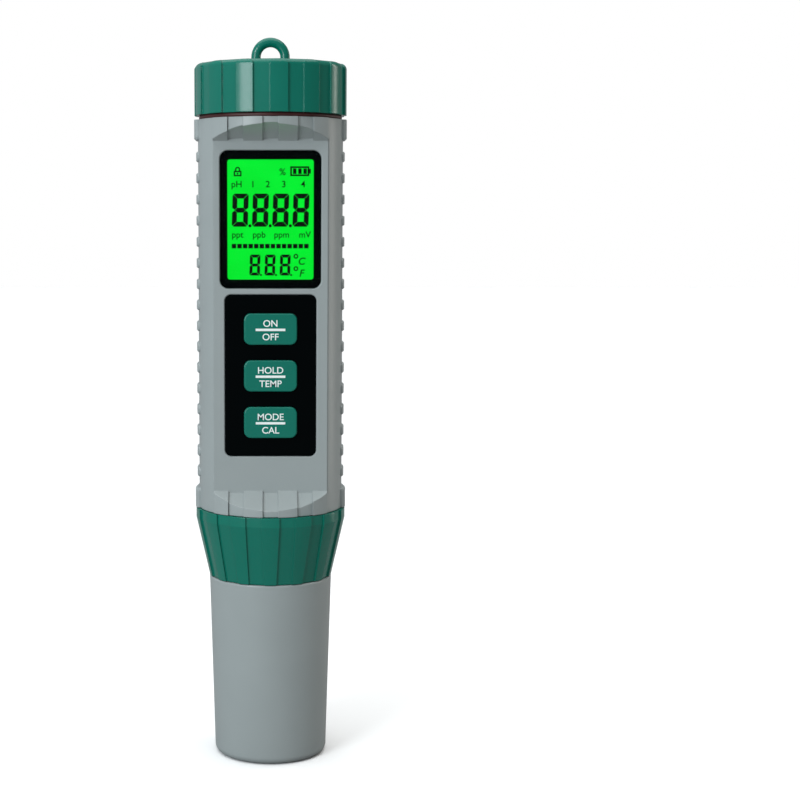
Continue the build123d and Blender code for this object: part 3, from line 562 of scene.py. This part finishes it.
def label_plate():
    """Bare foil plate on the back flat: a raised rim round a slightly lower field."""
    made = bmesh.new()
    loops = []
    for inset, rise in [(inset * MM, share * PLATE_THICKNESS) for inset, share in PLATE_RIM]:
        outline = rounded_outline(PLATE_WIDTH - 2 * inset, PLATE_HEIGHT - 2 * inset, PLATE_ROUND - inset)
        loops.append([made.verts.new((x, BACK_FLAT + INK_GAP + rise, PLATE_MID + z)) for x, z in outline])
    for lower, upper in zip(loops, loops[1:]):
        for here in range(len(lower)):
            after = (here + 1) % len(lower)
            made.faces.new((lower[here], lower[after], upper[after], upper[here]))
    made.faces.new(loops[-1])
    made.faces.new(loops[0])
    bmesh.ops.recalc_face_normals(made, faces=made.faces)
    mesh = bpy.data.meshes.new("label_plate")
    made.to_mesh(mesh)
    made.free()
    add_piece("label_plate", mesh, plate_foil(), "housing")


def thread_ridge(name, radius, rise, low, high, pitch, look, body):
    """A screw thread's ridge wound on a cylinder, fading in and out over its ends."""
    turns = (high - low) / pitch
    steps = round(turns * RIDGE_STEPS_PER_TURN)
    half = RIDGE_FOOT_SHARE * pitch
    crest = RIDGE_CREST_SHARE * pitch
    made = bmesh.new()
    loops = []
    for step in range(steps + 1):
        share = step / steps
        height = rise * min(1, RIDGE_FADE * share, RIDGE_FADE * (1 - share))
        turn = 2 * math.pi * turns * share
        level = low + (high - low) * share
        root, top = radius - THREAD_ROOT, radius + height
        profile = ((root, -half), (top, -crest), (top, crest), (root, half))
        loops.append(
            [made.verts.new((r * math.cos(turn), r * math.sin(turn), level + up)) for r, up in profile]
        )
    for here, after in zip(loops, loops[1:]):
        for corner in range(4):
            following = (corner + 1) % 4
            made.faces.new((here[corner], here[following], after[following], after[corner]))
    made.faces.new(loops[0])
    made.faces.new(loops[-1])
    bmesh.ops.recalc_face_normals(made, faces=made.faces)
    mesh = bpy.data.meshes.new(name)
    made.to_mesh(mesh)
    made.free()
    add_piece(name, mesh, look, body)


def threads():
    """Thread ridges on the neck and on the plug's spigot."""
    grey = LOOKS["shell_plastic"]
    ridges = (
        ("neck_thread", NECK_THREAD, SHELL_HIGH.z, NECK_TOP),
        ("spigot_thread", SPIGOT_THREAD, SPIGOT_FOOT, SHELL_LOW.z),
    )
    for name, thread, low, high in ridges:
        thread_ridge(
            name, thread["radius"], thread["rise"], low + thread["below"], high - thread["above"],
            THREAD_PITCH, grey, "housing",
        )


def area_light(name, box):
    """A soft box that looks at the pen."""
    data = bpy.data.lights.new(name, "AREA")
    data.shape = "RECTANGLE"
    data.size, data.size_y = box["size"]
    data.energy = box["power"]
    data.color = linear(box["colour"])[:3]
    lamp = bpy.data.objects.new(name, data)
    lamp.location = box["place"]
    lamp.rotation_euler = (Vector(LIGHT_AIM) - Vector(box["place"])).to_track_quat("-Z", "Y").to_euler()
    bpy.context.scene.collection.objects.link(lamp)


def studio_world():
    """White to the camera; a soft surround, brighter on the left, to the surfaces."""
    world = bpy.data.worlds.new("studio")
    bpy.context.scene.world = world
    world.use_nodes = True
    nodes, links = world.node_tree.nodes, world.node_tree.links
    nodes.clear()
    place = nodes.new("ShaderNodeTexCoord")
    split = nodes.new("ShaderNodeSeparateXYZ")
    links.new(place.outputs["Generated"], split.inputs["Vector"])
    ramp = nodes.new("ShaderNodeMapRange")
    ramp.inputs["From Min"].default_value = -1
    ramp.inputs["From Max"].default_value = 1
    ramp.inputs["To Min"].default_value = 0
    ramp.inputs["To Max"].default_value = 1
    links.new(split.outputs["X"], ramp.inputs["Value"])
    tone = nodes.new("ShaderNodeMix")
    tone.data_type = "RGBA"
    tone.inputs[6].default_value = SURROUND_LEFT
    tone.inputs[7].default_value = SURROUND_RIGHT
    links.new(ramp.outputs["Result"], tone.inputs[0])
    soft = nodes.new("ShaderNodeBackground")
    soft.inputs["Strength"].default_value = SURROUND_STRENGTH
    links.new(tone.outputs[2], soft.inputs["Color"])
    white = nodes.new("ShaderNodeBackground")
    white.inputs["Color"].default_value = (1, 1, 1, 1)
    white.inputs["Strength"].default_value = 1.0
    path = nodes.new("ShaderNodeLightPath")
    mix = nodes.new("ShaderNodeMixShader")
    links.new(path.outputs["Is Camera Ray"], mix.inputs["Fac"])
    links.new(soft.outputs["Background"], mix.inputs[1])
    links.new(white.outputs["Background"], mix.inputs[2])
    output = nodes.new("ShaderNodeOutputWorld")
    links.new(mix.outputs["Shader"], output.inputs["Surface"])


def floor():
    """A plain pale floor that takes the object's soft shadow."""
    made = bmesh.new()
    for side_x, side_y in ((-1, -1), (1, -1), (1, 1), (-1, 1)):
        made.verts.new((side_x * FLOOR_HALF, side_y * FLOOR_HALF, 0))
    made.faces.new(made.verts)
    mesh = bpy.data.meshes.new("floor")
    made.to_mesh(mesh)
    made.free()
    ground = bpy.data.objects.new("floor", mesh)
    bpy.context.scene.collection.objects.link(ground)
    look = Look("floor")
    cloud = look.noise(400 * MM)
    pale = look.blend(cloud, (0.98, 0.98, 0.98, 1), (1, 1, 1, 1))
    path = look.nodes.new("ShaderNodeLightPath")
    seen = look.nodes.new("ShaderNodeMix")
    seen.data_type = "RGBA"
    seen.inputs[6].default_value = FLOOR_BOUNCE
    look.links.new(path.outputs["Is Camera Ray"], seen.inputs[0])
    look.links.new(pale, seen.inputs[7])
    look.links.new(seen.outputs[2], look.shader.inputs["Base Color"])
    look.set(Roughness=0.9, Specular_IOR_Level=0.0)
    ground.data.materials.append(look.material)


def studio():
    """A soft box at the left, a broad light from above and a narrow strip for the right rim."""
    area_light("key_light", KEY_LIGHT)
    area_light("rim_light", RIM_LIGHT)
    data = bpy.data.lights.new("top_light", "SUN")
    data.energy = TOP_LIGHT_STRENGTH
    data.angle = TOP_LIGHT_ANGLE
    lamp = bpy.data.objects.new("top_light", data)
    bpy.context.scene.collection.objects.link(lamp)


def camera():
    """The photograph's view: the object stands left of the frame's middle."""
    data = bpy.data.cameras.new("camera")
    data.lens = LENS_LENGTH
    data.sensor_width = SENSOR
    data.shift_x = (FRAME_WIDTH / 2 - OBJECT_COLUMN) / FRAME_WIDTH
    data.clip_start = 0.01
    viewer = bpy.data.objects.new("camera", data)
    away = CAMERA_RANGE * math.cos(CAMERA_PITCH)
    up = CAMERA_RANGE * math.sin(CAMERA_PITCH)
    viewer.location = (0, -away, AIM_HEIGHT + up)
    viewer.rotation_euler = (math.radians(90) - CAMERA_PITCH, 0, 0)
    bpy.context.scene.collection.objects.link(viewer)
    bpy.context.scene.camera = viewer


dress_nodes()
display_graphics()
key_legends()
label_plate()
threads()
studio_world()
floor()
studio()
camera()
bpy.context.scene.view_settings.view_transform = "Standard"
